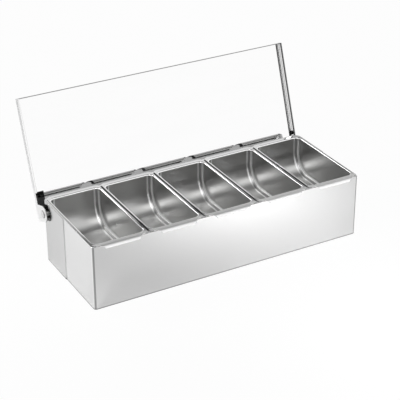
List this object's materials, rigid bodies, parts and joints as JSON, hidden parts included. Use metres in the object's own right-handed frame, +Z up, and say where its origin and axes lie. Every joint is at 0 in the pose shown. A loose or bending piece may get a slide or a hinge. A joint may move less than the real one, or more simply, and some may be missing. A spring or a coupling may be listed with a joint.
{
  "type": "condiment caddy",
  "caption": "Folded sheet-steel bar caddy with a hinged mirror-polished lid standing open over a row of lift-out condiment pans.",
  "frame": {"origin": "centre of the case's underside, where it rests on the table", "axes": "+X along the row of pans towards the right end seen from the front, +Y to the rear where the lid hinges, +Z up; the front faces -Y"},
  "size_m": [0.4724, 0.2517, 0.2438],
  "materials": {
    "case_steel": "smooth satin rolled stainless sheet",
    "pan_steel": "satin drawn stainless",
    "lid_steel": "mirror-polished stainless sheet",
    "rivet_steel": "bright headed stainless"
  },
  "bodies": {
    "case": {"front_wrap": "case_steel", "rear_wrap": "case_steel", "base_plate": "case_steel", "hinge_rivet_left": "rivet_steel", "hinge_rivet_right": "rivet_steel", "hinge_spacer_left": "rivet_steel", "hinge_spacer_right": "rivet_steel"},
    "lid": {"lid": "lid_steel"},
    "pan_1": {"pan_1": "pan_steel"},
    "pan_2": {"pan_2": "pan_steel"},
    "pan_3": {"pan_3": "pan_steel"},
    "pan_4": {"pan_4": "pan_steel"},
    "pan_5": {"pan_5": "pan_steel"}
  },
  "joints": [
    {"name": "lid_hinge", "type": "hinge", "parent": "case", "child": "lid", "pos_m": [0, 0.078, 0.0825], "axis": [-1, 0, 0], "range_deg": [-109, 0]},
    {"name": "pan_1_lift", "type": "slide", "parent": "case", "child": "pan_1", "axis": [0, 0, 1], "range_m": [0, 0.08]},
    {"name": "pan_2_lift", "type": "slide", "parent": "case", "child": "pan_2", "axis": [0, 0, 1], "range_m": [0, 0.08]},
    {"name": "pan_3_lift", "type": "slide", "parent": "case", "child": "pan_3", "axis": [0, 0, 1], "range_m": [0, 0.08]},
    {"name": "pan_4_lift", "type": "slide", "parent": "case", "child": "pan_4", "axis": [0, 0, 1], "range_m": [0, 0.08]},
    {"name": "pan_5_lift", "type": "slide", "parent": "case", "child": "pan_5", "axis": [0, 0, 1], "range_m": [0, 0.08]}
  ]
}
